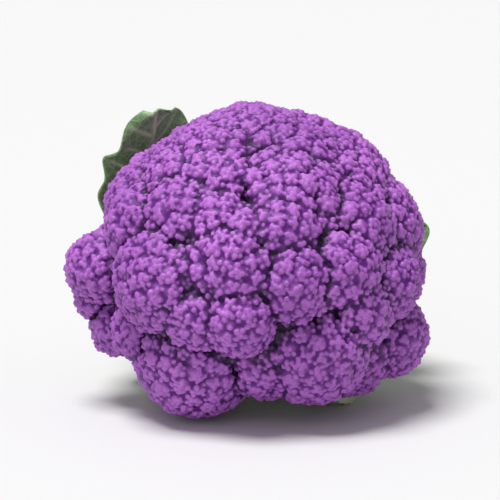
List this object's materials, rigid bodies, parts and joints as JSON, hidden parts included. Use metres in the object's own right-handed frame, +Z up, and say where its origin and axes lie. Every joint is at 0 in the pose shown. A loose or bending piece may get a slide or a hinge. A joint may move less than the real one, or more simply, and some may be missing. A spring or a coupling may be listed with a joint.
{
  "type": "purple cauliflower head",
  "caption": "Whole purple cauliflower head with knobbly curd, cut stem, trimmed leaf stalks and small rear leaves, resting tilted forward.",
  "frame": {"origin": "middle of the stem's flat cut face, on the surface the head rests on", "axes": "+Z up from that surface, -Y towards the front of the head, which leans forward by 20 degrees, +X to its right in the front view"},
  "size_m": [0.1444, 0.146, 0.1202],
  "materials": {
    "curd": "matt purple, finely granular",
    "stem": "pale moist cut flesh with a thin green rind",
    "leaf": "waxy green with pale ribs",
    "stalk": "smooth pale green"
  },
  "bodies": {
    "root": {"curd": "curd", "stem": "stem", "leaf_rear_left": "leaf", "leaf_rear": "leaf", "leaf_rear_right": "leaf", "trimmed_stalk_left_front": "stalk", "trimmed_stalk_left": "stalk", "trimmed_stalk_right": "stalk", "trimmed_stalk_right_front": "stalk"}
  },
  "joints": []
}
